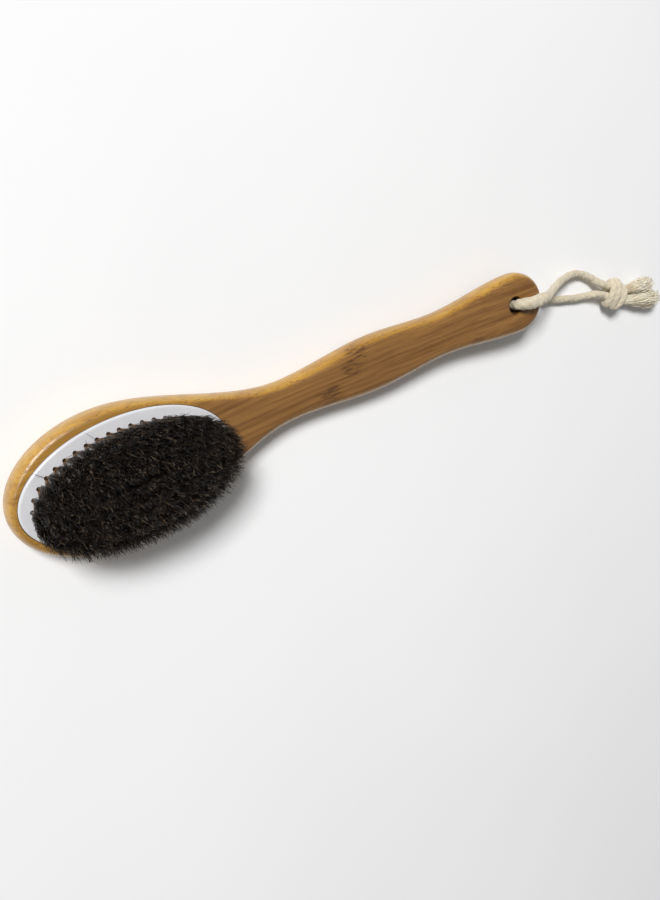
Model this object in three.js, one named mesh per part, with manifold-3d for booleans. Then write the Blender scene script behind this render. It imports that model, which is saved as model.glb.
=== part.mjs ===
// Body dry brush, in millimetres, lying on its back with the bristles up (+Z).
//
// One bamboo piece makes the oval head and the long shaped handle. A white plastic plate is
// glued into a recess in the head's face, and the bristle tufts stand in blind holes in it.
// A cotton rope loop passes through a hole in the handle's end and is knotted behind it.
//
// Everything but the rope is modelled with x measured from the head's tip, y across the
// brush and z up from the surface that it lies on, and the whole is then centred over x = 0.

import * as THREE from 'three';
import { mergeVertices } from 'three/addons/utils/BufferGeometryUtils.js';
import Module from 'manifold-3d';

const wasm = await Module();
wasm.setup();

// ---------------------------------------------------------------- driving dimensions

const LENGTH = 355;
const GAP = 0.3; // between pieces that touch

// The outline's stations: where it is widest or narrowest, and its half width there.
const HEAD = { x: 55.3, half: 37.2 };
const NECK = { x: 162, half: 12.2 };
const BELLY = { x: 224, half: 16.8 };
const WAIST = { x: 273, half: 14.0 };
const HANDLE_END = { x: 335, half: 19.6 };

const HEAD_THICK = 17.5;
const HANDLE_THICK = 16.5;
const THINNING = { from: 100, to: 160 }; // where the head's thickness turns into the handle's
const BOW = { from: 150, rise: 8.6 }; // the handle curves up towards its end

// How far the rounded edges reach across the face and down the side.
const FACE_EDGE = { onHead: 4.0, onHandle: 6.0, deep: 7.5 };
const BACK_EDGE = { across: 7.0, deep: 8.0 };
const EDGE_STEPS = 4;

const HOLE = { x: 331, radius: 5.3, chamfer: 0.8 };

const PLATE = { x: 61.9, halfLength: 57.3, halfWidth: 31.2, proud: 1.2, under: 3.7, lip: 1.0 };
const RECESS_DEPTH = 5.0;
const GLUE = { inset: 1.2, thick: 0.7 };
const OVAL_SIDES = 56;

// Tufts stand in rings that follow the plate's oval. Each ring is this much smaller than
// the one outside it, and the flare is how far its tips lean outwards.
const OUTER_RING = { halfLength: 50.6, halfWidth: 24.4 };
const RING_STEP = 5.7;
const RING_COUNTS = [40, 34, 28, 22];
const RING_FLARES = [2.6, 1.9, 1.2, 0.5];
const CORE = { count: 8, reach: 24 }; // a straight row inside the last ring
const BRISTLE_TOP = HEAD_THICK + 22.4;
const TUFT = { root: 1.25, tip: 2.75, sides: 6 };
const MERGE_HEIGHT = HEAD_THICK + 11.5; // where an inner ring's tufts fan out into each other
const TUFT_HOLE = { radius: 1.75, deep: 3.6, sides: 6 };

const ROPE_RADIUS = 3.0;
const ROPE_SIDES = 8;

// The knot lies flat, so it is wider across its axis than it is high.
const KNOT = {
  centre: [261.5, -27.5, 8.2], heading: -30.6, halfLength: 6.5, radius: 8, face: 6.2, widen: 1.45,
};
const FRAY = { root: 2.7, end: 5.0 };

// The rope's route from the middle of the hole, in the finished frame. The front strand
// leaves by the face, lies over the handle's end and sinks to the surface in an open bow.
// The back strand leaves under the handle and lies on the surface. Both end at the knot.
const FRONT_ROUTE = [
  [154.6, 0, 15.6], [154.6, 0, 21], [156, 0, 26], [159.8, -0.4, 28.7], [165.2, -1.2, 28.9],
  [171, -1.6, 28.4], [178, -2, 26.6], [186, -1.9, 22.6], [195.5, -1.6, 17.4], [206.5, -1.3, 12],
  [218, -1.5, 7.4], [228, -2.6, 4.4], [237, -5.6, 3.4], [244, -10.3, 4.6], [248.6, -15, 6.9],
  [252.6, -18.1, 8.1], [257.5, -20.9, 8.2],
];
const BACK_ROUTE = [
  [154.6, 0, 15.2], [154.5, 0, 10], [155.2, -0.2, 5.2], [159.8, -1.1, 3.3], [168, -3.4, 3.1],
  [178, -6.4, 3.1], [190, -10, 3.1], [203, -13.4, 3.1], [217, -17.2, 3.1], [230, -20.4, 3.2],
  [239, -21.7, 4.2], [245, -22.6, 6.9], [249.4, -24.4, 8.1], [253.9, -27, 8.2],
];
const FRAYED_ENDS = {
  frayed_end_upper: { from: [270.4, -28, 7.6], to: [303.5, -33.2, 6.2] },
  frayed_end_lower: { from: [266.3, -34.5, 6.6], to: [308.5, -46.3, 5.8] },
};

// ---------------------------------------------------------------- materials

const bamboo = new THREE.MeshStandardMaterial({ color: 0xb07a3c, roughness: 0.38, metalness: 0 });
const plastic = new THREE.MeshStandardMaterial({ color: 0xe9e9ee, roughness: 0.25, metalness: 0 });
const adhesive = new THREE.MeshStandardMaterial({ color: 0xd8cfae, roughness: 0.6, metalness: 0 });
const bristle = new THREE.MeshStandardMaterial({ color: 0x241c18, roughness: 0.5, metalness: 0 });
const cotton = new THREE.MeshStandardMaterial({ color: 0xddd2b8, roughness: 0.95, metalness: 0 });

// ---------------------------------------------------------------- helpers

const smooth = (t) => t * t * (3 - 2 * t);
const clamp01 = (t) => Math.min(1, Math.max(0, t));

// A geometry's solid, for cutting and joining.
function solidOf(geometry) {
  const bare = geometry.clone();
  bare.deleteAttribute('normal');
  bare.deleteAttribute('uv');
  const merged = mergeVertices(bare, 1e-4);
  return new wasm.Manifold(new wasm.Mesh({
    numProp: 3,
    vertProperties: new Float32Array(merged.attributes.position.array),
    triVerts: new Uint32Array(merged.index.array),
  }));
}

function geometryOf(solid) {
  const mesh = solid.getMesh();
  const geometry = new THREE.BufferGeometry();
  geometry.setAttribute('position', new THREE.BufferAttribute(mesh.vertProperties, 3));
  geometry.setIndex(new THREE.BufferAttribute(mesh.triVerts, 1));
  return geometry;
}

// A closed skin over a stack of loops that have the same number of points, lowest first,
// each running anticlockwise as seen from above. The cap lists the triangles that close an
// end, by their places in its loop, facing up.
function stackedLoops(loops, cap = fanCap) {
  const count = loops[0].length;
  const faces = [];
  for (let k = 0; k + 1 < loops.length; k++) {
    for (let i = 0; i < count; i++) {
      const a = k * count + i;
      const b = k * count + (i + 1) % count;
      faces.push(a, b, b + count, a, b + count, a + count);
    }
  }
  const top = (loops.length - 1) * count;
  for (const [a, b, c] of cap(count)) {
    faces.push(a, c, b, top + a, top + b, top + c);
  }
  const geometry = new THREE.BufferGeometry();
  geometry.setAttribute('position', new THREE.Float32BufferAttribute(loops.flat(2), 3));
  geometry.setIndex(faces);
  return geometry;
}

const fanCap = (count) => Array.from({ length: count - 2 }, (_, i) => [0, i + 1, i + 2]);

// Strips between the two sides of a loop that is its own mirror image about point 0.
function mirroredCap(count) {
  const triangles = [];
  for (let i = 0; i < count / 2; i++) {
    const facing = (count - i) % count;
    const ahead = count - i - 1;
    if (i > 0) triangles.push([i, ahead, facing]);
    if (ahead !== i + 1) triangles.push([i, i + 1, ahead]);
  }
  return triangles;
}

function oval(halfLength, halfWidth, z, sides = OVAL_SIDES) {
  return Array.from({ length: sides }, (_, i) => {
    const angle = (2 * Math.PI * i) / sides;
    return [PLATE.x + halfLength * Math.cos(angle), halfWidth * Math.sin(angle), z];
  });
}

function ovalDisc(levels) {
  return stackedLoops(levels.map(({ inset, z }) => (
    oval(PLATE.halfLength - inset, PLATE.halfWidth - inset, z))));
}

function ropeTube(points) {
  const path = new THREE.CatmullRomCurve3(points.map((p) => new THREE.Vector3(...p)), false, 'centripetal');
  const circle = new THREE.Shape(Array.from({ length: ROPE_SIDES }, (_, i) => {
    const angle = (2 * Math.PI * (i + 0.5)) / ROPE_SIDES;
    return new THREE.Vector2(ROPE_RADIUS * Math.cos(angle), ROPE_RADIUS * Math.sin(angle));
  }));
  const steps = Math.round(path.getLength() / (2 * ROPE_RADIUS));
  return new THREE.ExtrudeGeometry(circle, { steps, bevelEnabled: false, extrudePath: path });
}

// ---------------------------------------------------------------- bamboo body

// Half the brush's width, from the head's widest place to the handle's round end.
function halfWidth(x) {
  const stations = [HEAD, NECK, BELLY, WAIST, HANDLE_END];
  const next = stations.findIndex((station) => station.x >= x);
  if (next <= 0) return HEAD.half;
  const a = stations[next - 1];
  const b = stations[next];
  return a.half + (b.half - a.half) * smooth((x - a.x) / (b.x - a.x));
}

const bow = (x) => BOW.rise * clamp01((x - BOW.from) / (LENGTH - BOW.from)) ** 2;
const towardsHandle = (x) => smooth(clamp01((x - THINNING.from) / (THINNING.to - THINNING.from)));
const thickness = (x) => HEAD_THICK + (HANDLE_THICK - HEAD_THICK) * towardsHandle(x);

// One side of the outline, from the head's tip to the handle's end, both on the centre line.
function sideOutline() {
  const points = [];
  const tipSteps = 10;
  for (let i = 0; i < tipSteps; i++) {
    const angle = (Math.PI / 2) * (i / tipSteps);
    points.push([HEAD.x * (1 - Math.cos(angle)), HEAD.half * Math.sin(angle)]);
  }
  const spans = [[HEAD, NECK, 12], [NECK, BELLY, 7], [BELLY, WAIST, 6], [WAIST, HANDLE_END, 7]];
  for (const [from, to, steps] of spans) {
    for (let i = 0; i < steps; i++) {
      const x = from.x + ((to.x - from.x) * i) / steps;
      points.push([x, halfWidth(x)]);
    }
  }
  const endSteps = 8;
  for (let i = 0; i <= endSteps; i++) {
    const angle = (Math.PI / 2) * (i / endSteps);
    const x = HANDLE_END.x + (LENGTH - HANDLE_END.x) * Math.sin(angle);
    points.push([x, HANDLE_END.half * Math.cos(angle)]);
  }
  return points;
}

// The outline moved inwards at right angles to itself and mirrored into a loop, which runs
// anticlockwise from the handle's end, over +y to the head's tip and back over -y.
function insetLoop(side, inset, height) {
  const last = side.length - 1;
  const moved = side.map(([x, y], i) => {
    if (i === 0) return [x + inset(x), 0];
    if (i === last) return [x - inset(x), 0];
    const [x0, y0] = side[i - 1];
    const [x1, y1] = side[i + 1];
    const run = Math.hypot(x1 - x0, y1 - y0);
    return [x + (inset(x) * (y1 - y0)) / run, y - (inset(x) * (x1 - x0)) / run];
  });
  const mirrored = moved.slice(1, last).map(([x, y]) => [x, -y]);
  return [...moved.reverse(), ...mirrored].map(([x, y]) => [x, y, height(x)]);
}

// The bamboo before cutting: rounded edges all round, and flat faces that follow the bow.
function bodyBlank() {
  const side = sideOutline();
  const across = (x) => FACE_EDGE.onHead + (FACE_EDGE.onHandle - FACE_EDGE.onHead) * towardsHandle(x);
  const backLoops = [];
  const faceLoops = [];
  for (let k = 0; k <= EDGE_STEPS; k++) {
    const angle = (Math.PI / 2) * (k / EDGE_STEPS);
    backLoops.push(insetLoop(
      side,
      () => BACK_EDGE.across * (1 - Math.sin(angle)),
      (x) => bow(x) + BACK_EDGE.deep * (1 - Math.cos(angle)),
    ));
    faceLoops.push(insetLoop(
      side,
      (x) => across(x) * (1 - Math.cos(angle)),
      (x) => bow(x) + thickness(x) - FACE_EDGE.deep * (1 - Math.sin(angle)),
    ));
  }
  return stackedLoops([...backLoops, ...faceLoops], mirroredCap);
}

function ropeHole() {
  const { radius, chamfer } = HOLE;
  const low = bow(HOLE.x);
  const high = low + HANDLE_THICK;
  const beyond = 3;
  const flare = radius + chamfer + beyond;
  const profile = [
    [0, low - beyond], [flare, low - beyond], [radius, low + chamfer],
    [radius, high - chamfer], [flare, high + beyond], [0, high + beyond],
  ].map(([r, z]) => new THREE.Vector2(r, z));
  return new THREE.LatheGeometry(profile, 20).rotateX(Math.PI / 2).translate(HOLE.x, 0, 0);
}

function bambooBody() {
  const recess = ovalDisc([
    { inset: -GAP, z: HEAD_THICK - RECESS_DEPTH },
    { inset: -GAP, z: HEAD_THICK + 2 },
  ]);
  return geometryOf(solidOf(bodyBlank()).subtract(solidOf(recess)).subtract(solidOf(ropeHole())));
}

// ---------------------------------------------------------------- plate and glue

const glueBottom = HEAD_THICK - RECESS_DEPTH + GAP;
const gluePad = () => ovalDisc([
  { inset: GLUE.inset, z: glueBottom },
  { inset: GLUE.inset, z: glueBottom + GLUE.thick },
]);

function bristlePlate(places) {
  const top = HEAD_THICK + PLATE.proud;
  const disc = ovalDisc([
    { inset: 0, z: HEAD_THICK - PLATE.under },
    { inset: 0, z: top - PLATE.lip },
    { inset: 0.3 * PLATE.lip, z: top - 0.3 * PLATE.lip },
    { inset: PLATE.lip, z: top },
  ]);
  const beyond = 1;
  const drill = new THREE.CylinderGeometry(
    TUFT_HOLE.radius, TUFT_HOLE.radius, TUFT_HOLE.deep + beyond, TUFT_HOLE.sides,
  ).rotateX(Math.PI / 2).translate(0, 0, top + (beyond - TUFT_HOLE.deep) / 2);
  const holes = places.map(({ foot }) => (
    solidOf(drill.clone().translate(foot.x, foot.y, 0))));
  return geometryOf(solidOf(disc).subtract(wasm.Manifold.union(holes)));
}

// ---------------------------------------------------------------- tufts

// Places at an equal pitch round an oval, each with the point that its tips lean out to.
function tuftRing(halfLength, halfWidth, count, flare) {
  const at = (angle, extra = 0) => new THREE.Vector2(
    PLATE.x + (halfLength + extra) * Math.cos(angle),
    (halfWidth + extra) * Math.sin(angle),
  );
  const fine = 720;
  const reached = [0];
  for (let i = 1; i <= fine; i++) {
    const step = at((2 * Math.PI * i) / fine).distanceTo(at((2 * Math.PI * (i - 1)) / fine));
    reached.push(reached[i - 1] + step);
  }
  return Array.from({ length: count }, (_, k) => {
    const wanted = (reached[fine] * (k + 0.5)) / count;
    const angle = (2 * Math.PI * reached.findIndex((length) => length >= wanted)) / fine;
    return { foot: at(angle), tips: at(angle, flare) };
  });
}

function tuftRings() {
  return RING_COUNTS.map((count, k) => tuftRing(
    OUTER_RING.halfLength - k * RING_STEP,
    OUTER_RING.halfWidth - k * RING_STEP,
    count,
    RING_FLARES[k],
  ));
}

function coreRow() {
  const { count, reach } = CORE;
  return Array.from({ length: count }, (_, k) => {
    const foot = new THREE.Vector2(PLATE.x - reach + (2 * reach * k) / (count - 1), 0);
    return { foot, tips: foot.clone() };
  });
}

const rootZ = HEAD_THICK + PLATE.proud - TUFT_HOLE.deep + GAP;

// A tuft from its root in the plate up to a height, widening and leaning as it goes.
function tuftCone({ foot, tips }, topZ, topRadius) {
  const lean = (topZ - HEAD_THICK) / (BRISTLE_TOP - HEAD_THICK);
  const centre = foot.clone().lerp(tips, lean);
  const levels = [
    [foot, TUFT.root, rootZ],
    [foot, TUFT.root, HEAD_THICK + PLATE.proud],
    [centre, topRadius, topZ],
  ];
  return stackedLoops(levels.map(([middle, radius, z]) => (
    Array.from({ length: TUFT.sides }, (_, i) => {
      const angle = (2 * Math.PI * i) / TUFT.sides;
      return [middle.x + radius * Math.cos(angle), middle.y + radius * Math.sin(angle), z];
    }))));
}

// The wall that an inner ring's tufts make above the height where they meet.
function mergedWall(ring, halfLength, halfWidth, flare) {
  const lean = (z) => (flare * (z - HEAD_THICK)) / (BRISTLE_TOP - HEAD_THICK);
  const half = (z) => TUFT.tip - 0.6 * (BRISTLE_TOP - z) / (BRISTLE_TOP - MERGE_HEIGHT);
  const skin = (side) => stackedLoops([MERGE_HEIGHT, BRISTLE_TOP].map((z) => {
    const extra = lean(z) + side * half(z);
    return oval(halfLength + extra, halfWidth + extra, z, ring.length);
  }));
  return solidOf(skin(1)).subtract(solidOf(skin(-1)));
}

function innerRing(ring, k) {
  const halfLength = OUTER_RING.halfLength - k * RING_STEP;
  const halfWidth = OUTER_RING.halfWidth - k * RING_STEP;
  const wall = mergedWall(ring, halfLength, halfWidth, RING_FLARES[k]);
  const stems = ring.map((place) => solidOf(tuftCone(place, MERGE_HEIGHT + 1, 1.9)));
  return geometryOf(wasm.Manifold.union([wall, ...stems]));
}

function coreTufts(row) {
  const first = row[0].foot.x;
  const last = row[row.length - 1].foot.x;
  const wall = new THREE.BoxGeometry(
    last - first + 2 * TUFT.tip, 1.7 * TUFT.tip, BRISTLE_TOP - MERGE_HEIGHT,
  ).translate((first + last) / 2, 0, (BRISTLE_TOP + MERGE_HEIGHT) / 2);
  const stems = row.map((place) => solidOf(tuftCone(place, MERGE_HEIGHT + 1, 1.9)));
  return geometryOf(wasm.Manifold.union([solidOf(wall), ...stems]));
}

// ---------------------------------------------------------------- rope loop

function knotBody() {
  const { halfLength, radius, face, widen, heading, centre } = KNOT;
  const profile = [
    [0, -halfLength], [face, -halfLength], [radius, -0.5 * halfLength], [radius - 0.8, 0],
    [radius, 0.5 * halfLength], [face, halfLength], [0, halfLength],
  ].map(([r, along]) => new THREE.Vector2(r, along));
  return new THREE.LatheGeometry(profile, 14)
    .scale(widen, 1, 1)
    .rotateZ(THREE.MathUtils.degToRad(heading - 90))
    .translate(...centre);
}

function frayedEnd({ from, to }) {
  const start = new THREE.Vector3(...from);
  const along = new THREE.Vector3(...to).sub(start);
  const geometry = new THREE.CylinderGeometry(FRAY.end, FRAY.root, along.length(), 12);
  geometry.translate(0, along.length() / 2, 0);
  const turn = new THREE.Quaternion().setFromUnitVectors(
    new THREE.Vector3(0, 1, 0), along.clone().normalize(),
  );
  return geometry.applyQuaternion(turn).translate(...from);
}

// ---------------------------------------------------------------- assembly

const group = new THREE.Group();

function place(parent, name, geometry, material) {
  const mesh = new THREE.Mesh(geometry, material);
  mesh.name = name;
  parent.add(mesh);
}

const brush = new THREE.Group();
brush.position.x = -LENGTH / 2;
group.add(brush);

const rings = tuftRings();
const core = coreRow();
place(brush, 'bamboo_body', bambooBody(), bamboo);
place(brush, 'plate_glue', gluePad(), adhesive);
place(brush, 'bristle_plate', bristlePlate([...rings.flat(), ...core]), plastic);
rings[0].forEach((tuft, i) => {
  const name = `outer_tuft_${String(i + 1).padStart(2, '0')}`;
  place(brush, name, tuftCone(tuft, BRISTLE_TOP, TUFT.tip), bristle);
});
rings.slice(1).forEach((ring, i) => {
  place(brush, `inner_tufts_ring_${i + 2}`, innerRing(ring, i + 1), bristle);
});
place(brush, 'inner_tufts_core', coreTufts(core), bristle);

place(group, 'rope_front_strand', ropeTube(FRONT_ROUTE), cotton);
place(group, 'rope_back_strand', ropeTube(BACK_ROUTE), cotton);
place(group, 'rope_knot', knotBody(), cotton);
for (const [name, ends] of Object.entries(FRAYED_ENDS)) {
  place(group, name, frayedEnd(ends), cotton);
}

export default group;
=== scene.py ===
"""Body dry brush with a bamboo handle, seen lying on its back on a pale floor.

Lengths are in millimetres up to the place where a mesh is made. Every piece of the brush is
modelled with x measured from the head's tip, and the rope in the finished frame.
"""
import math

import bpy
import numpy as np
from mathutils import Matrix, Vector


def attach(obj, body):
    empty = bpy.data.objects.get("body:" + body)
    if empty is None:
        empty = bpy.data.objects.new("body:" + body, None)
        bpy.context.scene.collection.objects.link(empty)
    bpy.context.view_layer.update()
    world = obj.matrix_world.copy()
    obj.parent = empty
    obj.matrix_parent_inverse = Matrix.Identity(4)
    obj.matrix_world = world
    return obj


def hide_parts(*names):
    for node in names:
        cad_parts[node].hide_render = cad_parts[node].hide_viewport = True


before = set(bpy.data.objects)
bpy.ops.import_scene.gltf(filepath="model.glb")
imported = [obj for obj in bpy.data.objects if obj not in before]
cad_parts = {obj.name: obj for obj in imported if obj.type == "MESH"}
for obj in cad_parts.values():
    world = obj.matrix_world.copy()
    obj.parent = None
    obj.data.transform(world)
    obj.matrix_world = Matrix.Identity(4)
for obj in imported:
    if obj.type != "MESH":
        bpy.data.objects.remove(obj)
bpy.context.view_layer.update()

MM = 0.001
TAU = 2 * math.pi

# ------------------------------------------------------------------ dimensions

LENGTH = 355
HEAD = (55.3, 37.2)  # stations of the outline: x from the head's tip, half width
NECK = (162, 12.2)
BELLY = (224, 16.8)
WAIST = (273, 14.0)
HANDLE_END = (335, 19.6)
HEAD_THICK = 17.5
HANDLE_THICK = 16.5
THINNING = (100, 160)
BOW_FROM = 150
BOW_RISE = 8.6
FACE_EDGE_HEAD = 4.0
FACE_EDGE_HANDLE = 6.0
FACE_EDGE_DEEP = 7.5
BACK_EDGE_ACROSS = 7.0
BACK_EDGE_DEEP = 8.0
EDGE_STEPS = 12

HOLE_X = 331
HOLE_RADIUS = 5.3
HOLE_CHAMFER = 0.8

PLATE_X = 61.9
PLATE_HALF = (57.3, 31.2)
PLATE_TOP = HEAD_THICK + 1.2
PLATE_BOTTOM = HEAD_THICK - 3.7
PLATE_LIP = 1.3
RECESS_GAP = 0.3
RECESS_FLOOR = HEAD_THICK - 5.0

OUTER_RING = (50.6, 24.4)
RING_STEP = 5.7
RING_COUNTS = (40, 34, 28, 22)
RING_FLARES = (2.6, 1.9, 1.2, 0.5)
CORE_COUNT = 8
CORE_REACH = 24
BRISTLE_TOP = HEAD_THICK + 22.4
TUFT_HOLE_RADIUS = 1.15
TUFT_HOLE_BOTTOM = PLATE_TOP - 3.6

KNOT_CENTRE = (261.5, -27.5, 8.2)
KNOT_HEADING = math.radians(-30.6)

FRONT_ROUTE = [
    (0.1546, 0, 0.0156), (0.1546, 0, 0.021), (0.156, 0, 0.026), (0.1598, -0.0004, 0.0287),
    (0.1652, -0.0012, 0.0289), (0.171, -0.0016, 0.0284), (0.178, -0.002, 0.0266),
    (0.186, -0.0019, 0.0226), (0.1955, -0.0016, 0.0174), (0.2065, -0.0013, 0.012),
    (0.218, -0.0015, 0.0074), (0.228, -0.0026, 0.0044), (0.237, -0.0056, 0.0034),
    (0.244, -0.0103, 0.0046), (0.2486, -0.015, 0.0069), (0.2526, -0.0181, 0.0081),
    (0.2575, -0.0209, 0.0082),
]
BACK_ROUTE = [
    (0.1546, 0, 0.0152), (0.1545, 0, 0.010), (0.1552, -0.0002, 0.0052),
    (0.1598, -0.0011, 0.0033), (0.168, -0.0034, 0.0031), (0.178, -0.0064, 0.0031),
    (0.190, -0.010, 0.0031), (0.203, -0.0134, 0.0031), (0.217, -0.0172, 0.0031),
    (0.230, -0.0204, 0.0032), (0.239, -0.0217, 0.0042), (0.245, -0.0226, 0.0069),
    (0.2494, -0.0244, 0.0081), (0.2539, -0.027, 0.0082),
]
FRAYED_ENDS = {
    "upper": ((270.4, -28, 7.6), (303.5, -33.2, 6.2)),
    "lower": ((266.3, -34.5, 6.6), (308.5, -46.3, 5.8)),
}

# ------------------------------------------------------------------ camera

CAMERA_PLACE = (-0.20235, 0.13132, 0.40999)
CAMERA_RIGHT = (0.81301, -0.25417, 0.52383)
CAMERA_UP = (0.39763, 0.89959, -0.18064)
CAMERA_LENS = 32.24


def add_camera():
    data = bpy.data.cameras.new("camera")
    data.lens = CAMERA_LENS
    data.sensor_width = 36
    data.clip_start = 0.01
    camera = bpy.data.objects.new("camera", data)
    right = Vector(CAMERA_RIGHT).normalized()
    up = (Vector(CAMERA_UP) - right * right.dot(Vector(CAMERA_UP))).normalized()
    turn = Matrix((right, up, right.cross(up))).transposed().to_4x4()
    camera.matrix_world = Matrix.Translation(CAMERA_PLACE) @ turn
    bpy.context.scene.collection.objects.link(camera)
    bpy.context.scene.camera = camera


add_camera()

# ------------------------------------------------------------------ mesh helpers


def smooth(t):
    return t * t * (3 - 2 * t)


def clamp01(t):
    return min(1.0, max(0.0, t))


def make_mesh(name, points, faces, shift=0.0):
    """A mesh from points in millimetres, moved along x by shift millimetres."""
    mesh = bpy.data.meshes.new(name)
    placed = (np.asarray(points, dtype=float) + (shift, 0, 0)) * MM
    mesh.from_pydata(placed.tolist(), [], faces)
    mesh.update()
    return mesh


def add_piece(name, mesh, body, material, replaces=(), sharp=None):
    """Link a finished mesh as a piece that rides on a body and stands for CAD nodes."""
    piece = bpy.data.objects.new(name, mesh)
    bpy.context.scene.collection.objects.link(piece)
    mesh.materials.append(material)
    mesh.shade_smooth()
    if sharp is not None:
        mesh.set_sharp_from_angle(angle=math.radians(sharp))
    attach(piece, body)
    if replaces:
        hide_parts(*replaces)
    return piece


def stacked_loops(loops, cap):
    """Faces of a closed skin over loops of equal length, the lowest first."""
    count = len(loops[0])
    faces = []
    for k in range(len(loops) - 1):
        for i in range(count):
            a = k * count + i
            b = k * count + (i + 1) % count
            faces.append((a, b, b + count, a + count))
    top = (len(loops) - 1) * count
    for corners in cap(count):
        faces.append(tuple(reversed(corners)))
        faces.append(tuple(top + i for i in corners))
    points = [point for loop in loops for point in loop]
    return points, faces


def append_skin(points, faces, skin, skin_faces):
    """Add a closed skin to growing lists of points and faces."""
    base = len(points)
    points.extend(skin)
    faces.extend(tuple(base + i for i in face) for face in skin_faces)


def round_cap(count):
    return [tuple(range(count))]


def mirrored_cap(count):
    """Strips between the two sides of a loop that is its own mirror image about point 0."""
    half = count // 2
    strips = [(i, i + 1, count - i - 1, count - i) for i in range(1, half - 1)]
    return [(0, 1, count - 1), *strips, (half - 1, half, half + 1)]


def cut(mesh, tools):
    """The mesh with closed tool meshes taken out of it."""
    scene = bpy.context.scene
    target = bpy.data.objects.new("cut_target", mesh)
    scene.collection.objects.link(target)
    helpers = [target]
    for tool in tools:
        cutter = bpy.data.objects.new("cutter", tool)
        scene.collection.objects.link(cutter)
        modifier = target.modifiers.new("cut", "BOOLEAN")
        modifier.operation = "DIFFERENCE"
        modifier.solver = "EXACT"
        modifier.object = cutter
        helpers.append(cutter)
    graph = bpy.context.evaluated_depsgraph_get()
    result = bpy.data.meshes.new_from_object(target.evaluated_get(graph))
    for helper in helpers:
        bpy.data.objects.remove(helper)
    return result


def smooth_path(points, step):
    """Points at an even step along a centripetal Catmull-Rom curve through the given points."""
    given = np.asarray(points, dtype=float)
    ends = (2 * given[0] - given[1], 2 * given[-1] - given[-2])
    given = np.vstack([ends[0], given, ends[1]])
    fine = []
    for k in range(1, len(given) - 2):
        p0, p1, p2, p3 = given[k - 1:k + 3]
        t1 = np.linalg.norm(p1 - p0) ** 0.5
        t2 = t1 + np.linalg.norm(p2 - p1) ** 0.5
        t3 = t2 + np.linalg.norm(p3 - p2) ** 0.5
        for t in np.linspace(t1, t2, 40, endpoint=False):
            a1 = p0 + (p1 - p0) * t / t1
            a2 = p1 + (p2 - p1) * (t - t1) / (t2 - t1)
            a3 = p2 + (p3 - p2) * (t - t2) / (t3 - t2)
            b1 = a1 + (a2 - a1) * t / t2
            b2 = a2 + (a3 - a2) * (t - t1) / (t3 - t1)
            fine.append(b1 + (b2 - b1) * (t - t1) / (t2 - t1))
    fine = np.array([*fine, given[-2]])
    reached = np.concatenate([[0], np.cumsum(np.linalg.norm(np.diff(fine, axis=0), axis=1))])
    wanted = np.linspace(0, reached[-1], max(2, round(reached[-1] / step) + 1))
    return np.stack([np.interp(wanted, reached, fine[:, i]) for i in range(3)], axis=1)


def steady_frames(path):
    """Tangents along a path, and two normals that turn with it as little as they can."""
    tangents = np.gradient(path, axis=0)
    tangents /= np.linalg.norm(tangents, axis=1)[:, None]
    start = np.cross(tangents[0], (0.3, 0.9, 0.2))
    normals = [start / np.linalg.norm(start)]
    for tangent in tangents[1:]:
        moved = normals[-1] - tangent * normals[-1].dot(tangent)
        normals.append(moved / np.linalg.norm(moved))
    normals = np.array(normals)
    return tangents, normals, np.cross(tangents, normals)


# ------------------------------------------------------------------ material helpers


class Graph:
    """A principled material with short calls for the nodes that feed it."""

    def __init__(self, name):
        self.material = bpy.data.materials.new(name)
        self.material.use_nodes = True
        self.tree = self.material.node_tree
        self.shader = self.tree.nodes["Principled BSDF"]
        self.coordinates = self.tree.nodes.new("ShaderNodeTexCoord")

    def feed(self, socket, value):
        if isinstance(value, bpy.types.NodeSocket):
            self.tree.links.new(value, socket)
        else:
            socket.default_value = value

    def node(self, kind, inputs, **settings):
        made = self.tree.nodes.new(kind)
        for key, value in settings.items():
            setattr(made, key, value)
        for key, value in inputs.items():
            self.feed(made.inputs[key], value)
        return made

    def set(self, **sockets):
        for key, value in sockets.items():
            self.feed(self.shader.inputs[key.replace("_", " ")], value)

    def stretched(self, scale, vector=None):
        """Object coordinates in millimetres, times a scale for each axis."""
        vector = vector or self.coordinates.outputs["Object"]
        factors = tuple(1000 * s for s in scale)
        made = self.node("ShaderNodeVectorMath", {0: vector, 1: factors}, operation="MULTIPLY")
        return made.outputs["Vector"]

    def axes(self, vector):
        return self.node("ShaderNodeSeparateXYZ", {0: vector}).outputs

    def math(self, operation, a, b=0.0, clamp=False):
        made = self.node("ShaderNodeMath", {0: a, 1: b}, operation=operation, use_clamp=clamp)
        return made.outputs[0]

    def noise(self, vector, detail=3.0, roughness=0.55, distortion=0.0):
        settings = {"Vector": vector, "Scale": 1.0, "Detail": detail}
        made = self.node("ShaderNodeTexNoise", settings)
        made.inputs["Roughness"].default_value = roughness
        made.inputs["Distortion"].default_value = distortion
        return made.outputs[0]

    def span(self, value, low, high, to_low=0.0, to_high=1.0):
        """The value's range from low to high, brought smoothly to another range."""
        inputs = {0: value, 1: low, 2: high, 3: to_low, 4: to_high}
        made = self.node("ShaderNodeMapRange", inputs, interpolation_type="SMOOTHSTEP")
        return made.outputs[0]

    def mix(self, factor, a, b, blend="MIX"):
        made = self.node("ShaderNodeMix", {}, data_type="RGBA", blend_type=blend)
        for socket, value in ((0, factor), (6, a), (7, b)):
            self.feed(made.inputs[socket], value)
        return made.outputs[2]

    def bump(self, height, distance, strength=1.0, under=None):
        inputs = {"Height": height, "Distance": distance * MM, "Strength": strength}
        made = self.node("ShaderNodeBump", inputs)
        if under is not None:
            self.feed(made.inputs["Normal"], under)
        return made.outputs[0]

    def attribute(self, name):
        return self.node("ShaderNodeAttribute", {}, attribute_name=name).outputs["Fac"]


def rgb(red, green, blue):
    return (red, green, blue, 1.0)


# ------------------------------------------------------------------ rope material


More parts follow.
